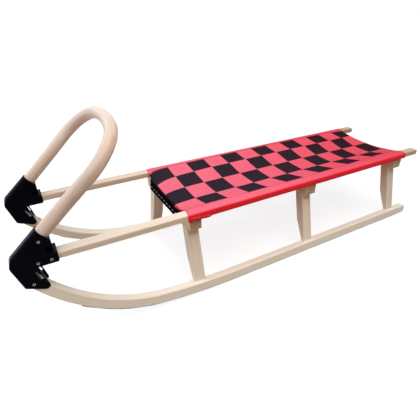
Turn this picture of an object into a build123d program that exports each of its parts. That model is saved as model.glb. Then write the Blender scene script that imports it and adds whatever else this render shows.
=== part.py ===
from build123d import *
import os
from math import asin, cos, degrees, radians, sin, tan

os.makedirs("parts", exist_ok=True)

# Wooden touring sled. Millimetres, +X to the bow, +Y to the left, +Z up.
# The ground is Z 0, and the middle of the length is X 0.
LENGTH = 1220.0
FRONT = LENGTH / 2
REAR = -LENGTH / 2
SEAT_GAP = 0.3
TENON_GAP = 0.15

# Runners: bent beech, each in a plane that leans in towards the top.
RUNNER_LEAN = 9.4
RUNNER_W = 24.6
RUNNER_H = 23.6
RUNNER_Y = 163.3
RUNNER_SHORT_OF_RAIL = 11.0
CURVE_REACH = 491.0
SLOW_R = 1697.0
SLOW_END = 7.05
NOSE_R = 384.0
NOSE_END = 58.0
RUNNER_EASE = 1.8

# Steel strips screwed under the runners.
STRIP_W = 18.0
STRIP_T = 3.0
STRIP_END = 36.5
STRIP_REAR_INSET = 2.0
STRIP_TIP_ROUND = 7.5

# Seat rails, toed in from the front crossbar to the brackets.
RAIL_TOP = 228.0
RAIL_H = 15.4
RAIL_W = 25.6
RAIL_OUTER = 147.5
RAIL_BEHIND_FRONT = 32.0
TOE_R = 18000.0
RAIL_ROUND = 2.5

# Crossbars, with a seat cut at each end for the rail.
BAR_W = 32.0
BAR_BOTTOM = 178.5
BAR_END = 141.8
BAR_EASE = 1.2
SEAT_LIP = 2.0

# Trestles, each a crossbar on two legs, set between the front and rear ones.
FRONT_TRESTLE_BACK = 388.0
REAR_TRESTLE_IN = 80.0
# name, share of the way from the front trestle to the rear one
TRESTLES = (
    ("front", 0.0),
    ("middle", 0.492),
    ("rear", 1.0),
)

# Legs, splayed, tapered on the inner side below the knee.
LEG_W = 30.6
LEG_T = 28.7
LEG_TOP_OUTER = 123.0
LEG_FOOT_OUTER = 161.5
LEG_FOOT_T = 12.5
LEG_EASE = 1.2
KNEE_SHARE = 0.6
TENON_W = 18.0
TOP_TENON_T = 16.0
TOP_TENON_L = 18.0
FOOT_TENON_T = 7.0
FOOT_TENON_L = 12.0

# Bow handle: a round bent rod in a plane that leans back.
BOW_D = 27.5
BOW_LEAN = 47.6
BOW_BEHIND_FRONT = 65.0
BOW_OVER_RAIL = 42.4
BOW_HALF = 132.2
BOW_IN = 42.0
BOW_STRAIGHT = 8.0
BOW_LEG_R = 1600.0
BOW_FLARE = 4.7
BOW_CORNER_R = 93.5
BOW_TOP_R = 316.0

# Corner brackets: moulded, join bow, rail and runner on each side.
# The outline's points are X from the sled's front end and Z from the rail's top.
BRACKET_T = 35.0
BRACKET_Y = 132.3
BRACKET_LEAN = 1.5
BRACKET_WALL = 3.5
BRACKET_EASE = 1.0
ARM_FLOOR = 2.0
ARM_LENGTH = 85.5
ARM_RISE = 6.5
WEB_ROUND = 17.0
POCKET_FLOOR = 8.0
POCKET_FRONT = -64.0
FRONT_TOP = (-58.5, 58.1)
CHIN_TOP = (-5.8, 11.0)
CHIN_LOW = (0.35, -4.6)
TOE = (-13.8, -58.0)
LOBE_FRONT = (-50.3, -74.0)
LOBE_TIP = (-58.2, -68.2)
NOTCH = (-46.4, -RAIL_H - ARM_FLOOR - SEAT_GAP)
ARM_END = (-ARM_LENGTH, NOTCH[1])
RIM_REAR = (-79.6, 34.8)
SLOT_AT = (-44.7, -37.5)
SLOT_L = 24.0
SLOT_W = 6.0
SLOT_TURN = 70.0
# outline corner, radius
BRACKET_ROUNDS = (
    (CHIN_TOP, 8.0),
    (CHIN_LOW, 8.0),
    (TOE, 5.0),
    (LOBE_FRONT, 4.0),
    (LOBE_TIP, 5.0),
    (ARM_END, 4.0),
)

# Seat fabric: a sleeve round each rail, a slung sheet and a front drop.
FABRIC_T = 1.6
FABRIC_SAG = 13.3
FABRIC_PAST_TRESTLE = 28.0
DROP_GAP = 0.4
DROP_LOW_OVER_BAR = 6.5
DROP_HALF_LOW = 112.0
DROP_HALF_TOP = 118.5
CUTOUT_PAST_BAR = 3.0

# Derived places and frames.
RAIL_BOTTOM = RAIL_TOP - RAIL_H
RAIL_INNER = RAIL_OUTER - RAIL_W
RAIL_FRONT = FRONT - RAIL_BEHIND_FRONT
RUNNER_REAR = REAR + RUNNER_SHORT_OF_RAIL
CURVE_START = FRONT - CURVE_REACH
FRONT_TRESTLE = FRONT - FRONT_TRESTLE_BACK
REAR_TRESTLE = REAR + REAR_TRESTLE_IN
TRESTLE_X = {name: FRONT_TRESTLE + share * (REAR_TRESTLE - FRONT_TRESTLE) for name, share in TRESTLES}
RUNNER_Z = STRIP_W / 2 * sin(radians(RUNNER_LEAN)) + STRIP_T * cos(radians(RUNNER_LEAN))
RUNNER_FRAME = Pos(0, RUNNER_Y, RUNNER_Z) * Rot(RUNNER_LEAN, 0, 0)
BRACKET_FRAME = Pos(FRONT, BRACKET_Y, RAIL_TOP) * Rot(BRACKET_LEAN, 0, 0)
BOW_PLANE = Plane(
    origin=(FRONT - BOW_BEHIND_FRONT, 0, RAIL_TOP + BOW_OVER_RAIL),
    x_dir=(0, 1, 0),
    z_dir=(cos(radians(BOW_LEAN)), 0, sin(radians(BOW_LEAN))),
)


def save(shape, name):
    export_step(shape, f"parts/{name}.step")


def save_pair(shape, name):
    """Left piece and its mirrored right twin."""
    save(shape, f"{name}_left")
    save(mirror(shape, about=Plane.XZ), f"{name}_right")


def slab(face, thickness):
    """A face drawn in X and Z, made as thick as asked about Y 0."""
    return extrude(Plane.XZ * face, thickness / 2, both=True)


def both_sides(shape, cut):
    """A shape less a left cut and its mirrored twin."""
    return shape - cut - mirror(cut, about=Plane.XZ)


def curve_point(angle, offset):
    """Point of the runner's curve at a slope, at a distance above its lower face."""
    slow = radians(min(angle, SLOW_END))
    x = CURVE_START + SLOW_R * sin(slow)
    z = SLOW_R * (1 - cos(slow))
    if angle > SLOW_END:
        x += NOSE_R * (sin(radians(angle)) - sin(slow))
        z += NOSE_R * (cos(slow) - cos(radians(angle)))
    return (x - offset * sin(radians(angle)), z + offset * cos(radians(angle)))


def curve_edge(rear_x, end, offset):
    """The straight and both arcs of one long face of runner or strip."""
    ends = [curve_point(a, offset) for a in (0, SLOW_END / 2, SLOW_END, (SLOW_END + end) / 2, end)]
    return (
        Line((rear_x, offset), ends[0])
        + ThreePointArc(ends[0], ends[1], ends[2])
        + ThreePointArc(ends[2], ends[3], ends[4])
    )


def bent_bar(rear_x, end, low, high, width):
    """Bar between two offsets of the runner's curve, in the runner's own frame."""
    rim = curve_edge(rear_x, end, low) + curve_edge(rear_x, end, high)
    rim += Line((rear_x, low), (rear_x, high))
    rim += Line(curve_point(end, low), curve_point(end, high))
    return slab(make_face(rim), width)


def long_edges(shape):
    return shape.edges().filter_by(lambda e: e.length > LENGTH / 12)


def ahead_of_toe_wall(gap):
    """What lies in front of the inside of the bracket's toe wall, in the runner's frame."""
    run = (CHIN_LOW[0] - TOE[0], CHIN_LOW[1] - TOE[1])
    size = (run[0] ** 2 + run[1] ** 2) ** 0.5
    inset = BRACKET_WALL + gap
    x = FRONT + TOE[0] - inset * run[1] / size
    z = RAIL_TOP + TOE[1] + inset * run[0] / size - RUNNER_Z
    rim = Polyline(
        (x - run[0], z - run[1]),
        (x + 2 * run[0], z + 2 * run[1]),
        (x + 4 * size, z + 2 * run[1]),
        (x + 4 * size, z - run[1]),
        close=True,
    )
    return slab(make_face(rim), 4 * RUNNER_W)


# Runner, with eased edges and its nose cut to the bracket's toe wall.
runner_blank = bent_bar(RUNNER_REAR, NOSE_END, 0, RUNNER_H, RUNNER_W)
runner = chamfer(long_edges(runner_blank), RUNNER_EASE) - ahead_of_toe_wall(SEAT_GAP)
runner_room = bent_bar(
    RUNNER_REAR, NOSE_END + 1, -SEAT_GAP, RUNNER_H + SEAT_GAP, RUNNER_W + 2 * SEAT_GAP
)
runner_room -= ahead_of_toe_wall(0)

# Strip under the runner, its ends rounded in plan.
strip = bent_bar(RUNNER_REAR + STRIP_REAR_INSET, STRIP_END, -STRIP_T, 0, STRIP_W)
strip_tips = strip.edges().filter_by(lambda e: abs(e.length - STRIP_T) < SEAT_GAP)
strip = fillet(strip_tips, STRIP_TIP_ROUND)

# Legs: the foot stands on the leaning top face of the runner.
runner_top = RUNNER_FRAME * Pos(0, 0, RUNNER_H)
top_y = runner_top.position.Y
top_z = runner_top.position.Z


def runner_top_z(y):
    return top_z + (y - top_y) * tan(radians(RUNNER_LEAN))


foot_inner = LEG_FOOT_OUTER - LEG_FOOT_T
splay = (LEG_FOOT_OUTER - LEG_TOP_OUTER) / (BAR_BOTTOM - runner_top_z(LEG_FOOT_OUTER))
knee_z = BAR_BOTTOM - KNEE_SHARE * (BAR_BOTTOM - top_z)
leg_top_inner = LEG_TOP_OUTER - LEG_T
leg_rim = Polyline(
    (LEG_TOP_OUTER, BAR_BOTTOM),
    (LEG_FOOT_OUTER, runner_top_z(LEG_FOOT_OUTER)),
    (foot_inner, runner_top_z(foot_inner)),
    (leg_top_inner + splay * (BAR_BOTTOM - knee_z), knee_z),
    (leg_top_inner, BAR_BOTTOM),
    close=True,
)
leg_blank = extrude(Plane.YZ * make_face(leg_rim), LEG_W / 2, both=True)
leg_arrises = leg_blank.edges().filter_by(lambda e: abs(e.bounding_box().size.Z) > LEG_T)
leg_blank = chamfer(leg_arrises, LEG_EASE)
foot_mid = ((LEG_FOOT_OUTER + foot_inner) / 2 - top_y) / cos(radians(RUNNER_LEAN))
top_mid = LEG_TOP_OUTER - LEG_T / 2


def foot_tenon(gap):
    size = Box(TENON_W + 2 * gap, FOOT_TENON_T + 2 * gap, 2 * (FOOT_TENON_L + gap))
    return runner_top * Pos(0, foot_mid, 0) * size


def top_tenon(gap):
    size = Box(TENON_W + 2 * gap, TOP_TENON_T + 2 * gap, 2 * (TOP_TENON_L + gap))
    return Pos(0, top_mid, BAR_BOTTOM) * size


def leg_at(x):
    """Left leg of one trestle, its foot cut to the runner where that curves."""
    blank = Pos(x, 0, 0) * leg_blank
    if x + LEG_W / 2 > CURVE_START:
        blank -= RUNNER_FRAME * runner_blank
    return blank + Pos(x, 0, 0) * (foot_tenon(0) + top_tenon(0))


# Crossbar with eased lower edges and ends, rail seats and mortises.
bar_top = RAIL_BOTTOM + SEAT_LIP
bar = Pos(0, 0, (BAR_BOTTOM + bar_top) / 2) * Box(BAR_W, 2 * BAR_END, bar_top - BAR_BOTTOM)
bar_arrises = bar.edges().group_by(Axis.Z)[0] + bar.edges().filter_by(Axis.Z)
bar = chamfer(bar_arrises, BAR_EASE)
seat_y = RAIL_INNER - TENON_GAP
seat = Pos(0, seat_y + RAIL_W / 2, RAIL_BOTTOM + RAIL_H / 2) * Box(2 * BAR_W, RAIL_W, RAIL_H)
bar = both_sides(bar, seat)
bar = both_sides(bar, top_tenon(TENON_GAP))

placed_runner = RUNNER_FRAME * runner
for name, x in TRESTLE_X.items():
    save(Pos(x, 0, 0) * bar, f"crossbar_{name}")
    save_pair(leg_at(x), f"leg_{name}")
    placed_runner -= Pos(x, 0, 0) * foot_tenon(TENON_GAP)
save_pair(placed_runner, "runner")
save_pair(RUNNER_FRAME * strip, "runner_strip")


# Seat rail, straight to the front crossbar and then toed in on a large arc.
def toed(x, y):
    """Point of a rail line that starts to toe in at the front crossbar."""
    turn = asin((x - FRONT_TRESTLE) / TOE_R)
    return (x, y - TOE_R * (1 - cos(turn)))


def rail_bar(front, grow):
    inner = RAIL_INNER - grow
    outer = RAIL_OUTER + grow
    half = (FRONT_TRESTLE + front) / 2
    rim = Line((REAR, inner), (REAR, outer))
    rim += Line((REAR, outer), (FRONT_TRESTLE, outer))
    rim += ThreePointArc((FRONT_TRESTLE, outer), toed(half, outer), toed(front, outer))
    rim += Line(toed(front, outer), toed(front, inner))
    rim += ThreePointArc(toed(front, inner), toed(half, inner), (FRONT_TRESTLE, inner))
    rim += Line((FRONT_TRESTLE, inner), (REAR, inner))
    return Pos(0, 0, RAIL_BOTTOM - grow) * extrude(make_face(rim), RAIL_H + 2 * grow)


rail = rail_bar(RAIL_FRONT, 0)
rail = fillet(long_edges(rail), RAIL_ROUND)
save_pair(rail, "seat_rail")
rail_room = rail_bar(RAIL_FRONT + SEAT_GAP, SEAT_GAP)

# Bow: two legs in the sockets, flared, with round shoulders and a crowned top.
flare = radians(BOW_FLARE)
leg_c = (BOW_HALF + BOW_LEG_R, BOW_STRAIGHT)
corner_y = leg_c[0] - (BOW_LEG_R + BOW_CORNER_R) * cos(flare)
corner_v = leg_c[1] + (BOW_LEG_R + BOW_CORNER_R) * sin(flare)
crown = asin(corner_y / (BOW_TOP_R - BOW_CORNER_R))
crown_c = corner_v - (BOW_TOP_R - BOW_CORNER_R) * cos(crown)
corner_end = radians(90) - crown


def on_leg(a):
    return (leg_c[0] - BOW_LEG_R * cos(a), leg_c[1] + BOW_LEG_R * sin(a))


def on_corner(a):
    """Shoulder arc, with its angle from the outward side."""
    return (corner_y + BOW_CORNER_R * cos(a), corner_v + BOW_CORNER_R * sin(a))


def half_bow(side):
    """Foot, flared leg and shoulder of one side."""
    foot = (BOW_HALF, -BOW_IN)
    shoulder_mid = on_corner((corner_end - flare) / 2)
    points = [foot, on_leg(0), on_leg(flare / 2), on_leg(flare), shoulder_mid, on_corner(corner_end)]
    p = [(side * y, v) for y, v in points]
    return [Line(p[0], p[1]), ThreePointArc(p[1], p[2], p[3]), ThreePointArc(p[3], p[4], p[5])]


shoulder = on_corner(corner_end)
top_arc = ThreePointArc(shoulder, (0, crown_c + BOW_TOP_R), (-shoulder[0], shoulder[1]))
bow_path = BOW_PLANE * Wire(half_bow(1) + [top_arc] + half_bow(-1))
bow_end = Plane(origin=bow_path @ 0, z_dir=bow_path % 0)
bow = sweep(bow_end * Circle(BOW_D / 2), path=bow_path)
save(bow, "bow")

# Bracket: one moulding with a round front, side pockets, sockets, a fork and tow slots.
bracket_face = make_face(
    Polyline(
        FRONT_TOP,
        CHIN_TOP,
        CHIN_LOW,
        TOE,
        LOBE_FRONT,
        LOBE_TIP,
        NOTCH,
        ARM_END,
        (ARM_END[0], ARM_RISE),
        (RIM_REAR[0], ARM_RISE),
        RIM_REAR,
        close=True,
    )
)
for at, radius in BRACKET_ROUNDS:
    corner = bracket_face.vertices().sort_by_distance((*at, 0))[0]
    bracket_face = fillet(corner, radius)
bracket = slab(bracket_face, BRACKET_T)
plate_rims = bracket.edges().group_by(Axis.Y)
bracket = chamfer(plate_rims[0] + plate_rims[-1], BRACKET_EASE)

web_run = (FRONT_TOP[0] - CHIN_TOP[0], FRONT_TOP[1] - CHIN_TOP[1])
web_plane = Plane(
    origin=(FRONT_TOP[0], 0, FRONT_TOP[1]),
    x_dir=(web_run[1], 0, -web_run[0]),
    z_dir=(web_run[0], 0, web_run[1]),
)
round_bar = Pos(-ARM_LENGTH, 0) * RectangleRounded(2 * ARM_LENGTH, BRACKET_T, WEB_ROUND)
bracket &= extrude(web_plane * round_bar, 2 * ARM_LENGTH, both=True)

fork_top = NOTCH[1] - SEAT_GAP
fork_front = curve_point(NOSE_END, RUNNER_H)[0] - FRONT + BRACKET_WALL
fork_face = Polyline(
    (POCKET_FRONT, fork_top),
    (fork_front, fork_top),
    (fork_front, NOTCH[1] - 2 * ARM_FLOOR),
    (POCKET_FRONT, LOBE_FRONT[1] - RUNNER_H),
    close=True,
)
bracket -= slab(make_face(fork_face), RUNNER_W + 2 * SEAT_GAP)

pocket_rear = RIM_REAR[0] - BRACKET_EASE
pocket_top = RIM_REAR[1] - BRACKET_WALL
pocket_face = Polyline(
    (pocket_rear, ARM_RISE),
    (POCKET_FRONT, ARM_RISE),
    (POCKET_FRONT, pocket_top + web_run[1] / web_run[0] * (POCKET_FRONT - RIM_REAR[0])),
    (pocket_rear, pocket_top),
    close=True,
)
pocket = slab(make_face(pocket_face), BRACKET_T)
for side in (1, -1):
    bracket -= Pos(0, side * (BRACKET_T + POCKET_FLOOR) / 2, 0) * pocket
bracket -= slab(Pos(*SLOT_AT) * Rot(0, 0, SLOT_TURN) * SlotOverall(SLOT_L, SLOT_W), 2 * BRACKET_T)

bracket = BRACKET_FRAME * bracket
bow_socket = Cylinder(BOW_D / 2 + SEAT_GAP, 2 * BOW_IN, align=(Align.CENTER, Align.CENTER, Align.MIN))
bracket -= Location(BOW_PLANE * Pos(BOW_HALF, -BOW_IN - SEAT_GAP, 0) * Rot(-90, 0, 0)) * bow_socket
bracket -= rail_room
bracket -= RUNNER_FRAME * runner_room
save_pair(bracket, "bracket")

# Seat fabric: sleeves, sheet slung between them, drop in front of the front crossbar.
skin = SEAT_GAP + FABRIC_T
fabric_top = RAIL_TOP + skin
rail_mid_y = (RAIL_OUTER + RAIL_INNER) / 2
rail_mid_z = (RAIL_TOP + RAIL_BOTTOM) / 2
sleeve = RectangleRounded(RAIL_W + 2 * skin, RAIL_H + 2 * skin, RAIL_ROUND + skin)
sleeve -= RectangleRounded(RAIL_W + 2 * SEAT_GAP, RAIL_H + 2 * SEAT_GAP, RAIL_ROUND + SEAT_GAP)


def sling_arc(half, height):
    """The sheet's sagging line between two points of one height."""
    return ThreePointArc((-half, height), (0, height - FABRIC_SAG), (half, height))


sheet_half = RAIL_INNER + RAIL_ROUND
sheet_low = fabric_top - FABRIC_T
section = make_face(
    sling_arc(sheet_half, fabric_top)
    + Line((sheet_half, fabric_top), (sheet_half, sheet_low))
    + sling_arc(sheet_half, sheet_low)
    + Line((-sheet_half, sheet_low), (-sheet_half, fabric_top))
)
for side in (1, -1):
    section += Pos(side * rail_mid_y, rail_mid_z) * sleeve
drop_back = FRONT_TRESTLE + BAR_W / 2 + DROP_GAP
fabric_front = drop_back + FABRIC_T
fabric_rear = REAR_TRESTLE - FABRIC_PAST_TRESTLE
fabric = Pos(fabric_rear, 0, 0) * extrude(Plane.YZ * section, fabric_front - fabric_rear)

drop_rise = fabric_top - FABRIC_T / 2
drop_low = BAR_BOTTOM + DROP_LOW_OVER_BAR
drop_rim = Polyline(
    (DROP_HALF_TOP, drop_rise),
    (DROP_HALF_LOW, drop_low),
    (-DROP_HALF_LOW, drop_low),
    (-DROP_HALF_TOP, drop_rise),
)
drop_rim += sling_arc(DROP_HALF_TOP, drop_rise)
fabric += Pos(drop_back, 0, 0) * extrude(Plane.YZ * make_face(drop_rim), FABRIC_T)

# Cut-outs where the sleeves pass the crossbars.
cut_top = RAIL_BOTTOM + SEAT_LIP + SEAT_GAP
cut_outer = RAIL_OUTER + SEAT_GAP / 2
cut_size = (BAR_W + 2 * CUTOUT_PAST_BAR, RAIL_W + LEG_FOOT_T, RAIL_H)
for name, x in TRESTLE_X.items():
    ahead = CUTOUT_PAST_BAR if name == "front" else 0
    hole = Pos(x + ahead, cut_outer - cut_size[1] / 2, cut_top - cut_size[2] / 2) * Box(*cut_size)
    fabric = both_sides(fabric, hole)
save(fabric, "seat_fabric")
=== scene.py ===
import math

import bmesh
import bpy
import numpy as np
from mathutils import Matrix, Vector


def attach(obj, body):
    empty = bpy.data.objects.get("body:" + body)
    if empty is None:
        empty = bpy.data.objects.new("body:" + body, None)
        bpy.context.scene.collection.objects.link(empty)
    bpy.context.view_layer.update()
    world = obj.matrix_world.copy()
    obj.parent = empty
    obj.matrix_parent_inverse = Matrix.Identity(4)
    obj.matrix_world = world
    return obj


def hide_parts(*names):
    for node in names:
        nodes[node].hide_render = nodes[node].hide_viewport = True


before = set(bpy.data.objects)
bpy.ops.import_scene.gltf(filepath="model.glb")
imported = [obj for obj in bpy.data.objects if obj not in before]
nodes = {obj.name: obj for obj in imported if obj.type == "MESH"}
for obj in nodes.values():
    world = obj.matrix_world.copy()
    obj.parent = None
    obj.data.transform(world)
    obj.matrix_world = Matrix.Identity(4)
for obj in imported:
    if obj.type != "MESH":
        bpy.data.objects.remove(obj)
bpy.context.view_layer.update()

# Runners: two beech bars, steam bent up at the nose and set in planes that lean in.
# They are planed on four sides, eased along the edges and finished with clear lacquer,
# so the grain runs along the bar and follows the bend.
SIDES = (("left", 1), ("right", -1))
RUNNER_Y, RUNNER_Z, RUNNER_LEAN = 0.1633, 0.0044, math.radians(9.4)
# The underside is flat, then bends up slowly, then more tightly at the nose.
CURVE_START, SLOW_R = 0.119, 1.697
NOSE_FROM, NOSE_R = 0.3273, 0.384
NOSE_X, NOSE_Z = 0.2802, 0.3939
RUNNER_PITH_Y, RUNNER_PITH_Z = 0.06, 0.03


def srgb(red, green, blue):
    """Colour as a paint card gives it, 0 to 255, made linear for the shader."""
    card = np.array([red, green, blue]) / 255
    linear = np.where(card <= 0.04045, card / 12.92, ((card + 0.055) / 1.055) ** 2.4)
    return (*linear.tolist(), 1.0)


def fill(tree, node, values):
    """Fills a node's inputs with numbers, colours or sockets."""
    for name, value in values.items():
        if isinstance(value, bpy.types.NodeSocket):
            tree.links.new(value, node.inputs[name])
        else:
            node.inputs[name].default_value = value


def put(tree, kind, values=None, **settings):
    """Adds a node, with its settings made and its inputs filled."""
    node = tree.nodes.new(kind)
    for name, value in settings.items():
        setattr(node, name, value)
    fill(tree, node, values or {})
    return node


def calc(tree, operation, *values):
    """One Math node on numbers or sockets."""
    return put(tree, "ShaderNodeMath", dict(enumerate(values)), operation=operation).outputs[0]


def scaled(tree, value, gain, start):
    """Value times the gain, on top of the start."""
    return calc(tree, "MULTIPLY_ADD", value, gain, start)


def blend(tree, share, first, second, way="MIX"):
    """First colour going over to the second by the share, or multiplied by it."""
    values = {0: share, 6: first, 7: second}
    return put(tree, "ShaderNodeMix", values, data_type="RGBA", blend_type=way).outputs[2]


def split(tree, vector):
    """X, Y and Z of a vector, as sockets."""
    return put(tree, "ShaderNodeSeparateXYZ", {0: vector}).outputs


def joined(tree, x, y, z):
    """Vector of three numbers or sockets."""
    return put(tree, "ShaderNodeCombineXYZ", {0: x, 1: y, 2: z}).outputs[0]


def hypot(tree, x, y):
    """Distance of a point in a plane from the plane's origin."""
    flat = joined(tree, x, y, 0)
    return put(tree, "ShaderNodeVectorMath", {0: flat}, operation="LENGTH").outputs["Value"]


def object_place(tree):
    """Place on the sled, in its own coordinates."""
    return put(tree, "ShaderNodeTexCoord").outputs["Object"]


def stretched_noise(tree, vector, scale, detail=2.0):
    """Noise, 0 to 1, with its own scale along each axis of the vector."""
    sized = put(tree, "ShaderNodeVectorMath", {0: vector, 1: scale}, operation="MULTIPLY").outputs[0]
    return put(tree, "ShaderNodeTexNoise", {"Vector": sized, "Scale": 1.0, "Detail": detail}).outputs[0]


def ramp(tree, value, low, high):
    """Value taken from 0 at low to 1 at high, smoothly."""
    values = {"Value": value, "From Min": low, "From Max": high}
    return put(tree, "ShaderNodeMapRange", values, interpolation_type="SMOOTHSTEP").outputs[0]


def new_group(name, inputs, outputs):
    """Shader node group with named sockets, given as name and kind of value."""
    group = bpy.data.node_groups.new(name, "ShaderNodeTree")
    for way, sockets in (("INPUT", inputs), ("OUTPUT", outputs)):
        for label, kind in sockets:
            group.interface.new_socket(label, in_out=way, socket_type=f"NodeSocket{kind}")
    return group, put(group, "NodeGroupInput"), put(group, "NodeGroupOutput")


# Wood in the round: rings about a pith line, fibres and ray flecks drawn out along the grain.
# The grain vector's X and Y lie across the bar, from the pith, and its Z lies along it.
wood, wood_in, wood_out = new_group(
    "wood_grain",
    [("Grain", "Vector"), ("Pale", "Color"), ("Dark", "Color")],
    [("Color", "Color"), ("Roughness", "Float"), ("Height", "Float")],
)
RING_PITCH, RING_WANDER = 0.0032, 3.5
# Features to the metre: twice across the grain, and once along it
WANDER_SCALE, FIBRE_SCALE, STREAK_SCALE = (18, 18, 2.4), (800, 800, 11), (120, 120, 2.2)
TONE_SCALE, FLECK_SCALE = (11, 11, 1.3), (1000, 1000, 170)
FLECK_FROM, FLECK_FULL = 0.63, 0.72
# How far each feature darkens the wood, from a start that leaves most of it pale
RING_DARK, FIBRE_DARK, STREAK_DARK, TONE_DARK, FLECK_DARK = 0.26, 0.42, 0.75, 0.75, 0.22
DARK_START, DARK_FROM, DARK_FULL = -0.62, -0.1, 1.0
grain = wood_in.outputs["Grain"]
wander = stretched_noise(wood, grain, WANDER_SCALE)
across_x, across_y, _ = split(wood, grain)
rings_out = calc(wood, "DIVIDE", hypot(wood, across_x, across_y), RING_PITCH)
ring = calc(wood, "POWER", calc(wood, "FRACT", scaled(wood, wander, RING_WANDER, rings_out)), 2.0)
fibre = stretched_noise(wood, grain, FIBRE_SCALE, 3.0)
streak = stretched_noise(wood, grain, STREAK_SCALE)
tone = stretched_noise(wood, grain, TONE_SCALE)
fleck = ramp(wood, stretched_noise(wood, grain, FLECK_SCALE), FLECK_FROM, FLECK_FULL)
dark = scaled(wood, ring, RING_DARK, DARK_START)
for feature, weight in ((fibre, FIBRE_DARK), (streak, STREAK_DARK), (tone, TONE_DARK), (fleck, FLECK_DARK)):
    dark = scaled(wood, feature, weight, dark)
dark = ramp(wood, dark, DARK_FROM, DARK_FULL)
fill(wood, wood_out, {
    "Color": blend(wood, dark, wood_in.outputs["Pale"], wood_in.outputs["Dark"]),
    "Roughness": scaled(wood, fibre, 0.22, 0.36),
    "Height": scaled(wood, ring, 0.35, calc(wood, "SUBTRACT", fibre, fleck)),
})

BEECH_TINTS = srgb(251, 242, 231), srgb(232, 213, 192)
# Tone multiplied into darkened ends: end grain at sawn ends, with painted shade at the crossbars' ends and
# the rails' rear ends.
END_DARKENING = srgb(216, 204, 189)
GRAIN_BUMP, GRAIN_DEEP = 0.25, 0.0001
LACQUER = {"Specular IOR Level": 0.16, "Coat Weight": 0.03, "Coat Roughness": 0.35}
END_FROM, END_FULL = 0.8, 0.95


def empty_tree(owner):
    """Shader tree of a material or a surround, with nothing in it yet."""
    owner.use_nodes = True
    owner.node_tree.nodes.clear()
    return owner.node_tree


def new_material(name):
    """Material with a Principled shader and its output."""
    material = bpy.data.materials.new(name)
    tree = empty_tree(material)
    shader = put(tree, "ShaderNodeBsdfPrincipled")
    put(tree, "ShaderNodeOutputMaterial", {"Surface": shader.outputs[0]})
    return material, tree, shader


def bump(tree, height, strength, distance):
    """Normal that is roughened by a height, in metres."""
    values = {"Height": height, "Strength": strength, "Distance": distance}
    return put(tree, "ShaderNodeBump", values).outputs[0]


def lacquered_wood(name, grain_of, tints=BEECH_TINTS, darkened_ends=None):
    """Wood under satin lacquer, with the grain vector that grain_of makes in the material's tree,
    and browner where the given mask says: painted shade, and end grain at sawn ends."""
    material, tree, shader = new_material(name)
    pale, dark = tints
    values = {"Grain": grain_of(tree), "Pale": pale, "Dark": dark}
    look = put(tree, "ShaderNodeGroup", values, node_tree=wood).outputs
    colour = look["Color"]
    if darkened_ends:
        colour = blend(tree, darkened_ends(tree), colour, END_DARKENING, "MULTIPLY")
    relief = bump(tree, look["Height"], GRAIN_BUMP, GRAIN_DEEP)
    fill(tree, shader, {"Base Color": colour, "Roughness": look["Roughness"], "Normal": relief, **LACQUER})
    return material


def sawn_ends(axis):
    """Mask of a bar's ends, which face along the numbered axis; darkened as end grain, and at the crossbars'
    ends also as painted shade.
    """

    def mask_of(tree):
        facing = split(tree, put(tree, "ShaderNodeTexCoord").outputs["Normal"])[axis]
        return ramp(tree, calc(tree, "ABSOLUTE", facing), END_FROM, END_FULL)

    return mask_of


def own_place(tree, origin, turn):
    """Place in a piece's own axes, as separate X, Y and Z sockets."""
    values = {"Vector": object_place(tree), "Location": origin, "Rotation": turn}
    return split(tree, put(tree, "ShaderNodeMapping", values, vector_type="TEXTURE").outputs[0])


def runner_grain(side):
    """Grain along a bent runner: height above the lower face is the arc's radius less the
    distance from the arc's centre, with the slow arc before the nose arc."""

    def grain_of(tree):
        x, y, z = own_place(tree, (0, side * RUNNER_Y, RUNNER_Z), (side * RUNNER_LEAN, 0, 0))
        ahead = calc(tree, "MAXIMUM", calc(tree, "SUBTRACT", x, CURVE_START), 0)
        slow = calc(tree, "SUBTRACT", SLOW_R, hypot(tree, ahead, calc(tree, "SUBTRACT", z, SLOW_R)))
        nose_x, nose_z = calc(tree, "SUBTRACT", x, NOSE_X), calc(tree, "SUBTRACT", z, NOSE_Z)
        nose = calc(tree, "SUBTRACT", NOSE_R, hypot(tree, nose_x, nose_z))
        on_nose = calc(tree, "GREATER_THAN", x, NOSE_FROM)
        height = put(tree, "ShaderNodeMix", {0: on_nose, 2: slow, 3: nose}).outputs[0]
        aside = calc(tree, "ADD", y, side * RUNNER_PITH_Y)
        return joined(tree, aside, calc(tree, "ADD", height, RUNNER_PITH_Z), x)

    return grain_of


def dress(node, material):
    """Gives a CAD node its finish."""
    nodes[node].data.materials.clear()
    nodes[node].data.materials.append(material)


RUNNER_TINTS = srgb(251, 246, 236), srgb(243, 230, 215)
for hand, side in SIDES:
    look = lacquered_wood(f"beech_runner_{hand}", runner_grain(side), RUNNER_TINTS, sawn_ends(0))
    dress(f"runner_{hand}", look)

# Runner strips: flat steel, rolled to the runner's curve and screwed to its underside.
# It is bright and scratched lengthwise, with dull and brown patches.
STEEL_BRIGHT, STEEL_DULL = srgb(182, 184, 188), srgb(120, 116, 112)
SCRATCH_SCALE, PATCH_SCALE = (9, 900, 900), (30, 60, 60)
strip_steel, tree, shader = new_material("strip_steel")
place = object_place(tree)
scratch = stretched_noise(tree, place, SCRATCH_SCALE, 3.0)
patch = ramp(tree, stretched_noise(tree, place, PATCH_SCALE, 4.0), 0.35, 0.75)
fill(tree, shader, {
    "Base Color": blend(tree, patch, STEEL_BRIGHT, STEEL_DULL),
    "Roughness": scaled(tree, patch, 0.2, scaled(tree, scratch, 0.3, 0.2)),
    "Normal": bump(tree, scratch, 0.3, 0.0002),
    "Metallic": 1.0,
})
for hand, _ in SIDES:
    dress(f"runner_strip_{hand}", strip_steel)

# Strip screws: zinc plated steel, countersunk, with a cross recess.
# They hold the strips to the runners from below.
STRIP_T = 0.003
STRIP_SCREW_X = np.array([-0.575, -0.395, -0.210, -0.020, 0.165, 0.320, 0.440])
STRIP_HEAD_R, STRIP_HEAD_RISE = 0.0042, 0.0003
HEAD_RINGS, HEAD_SPOKES = 11, 32
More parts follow.
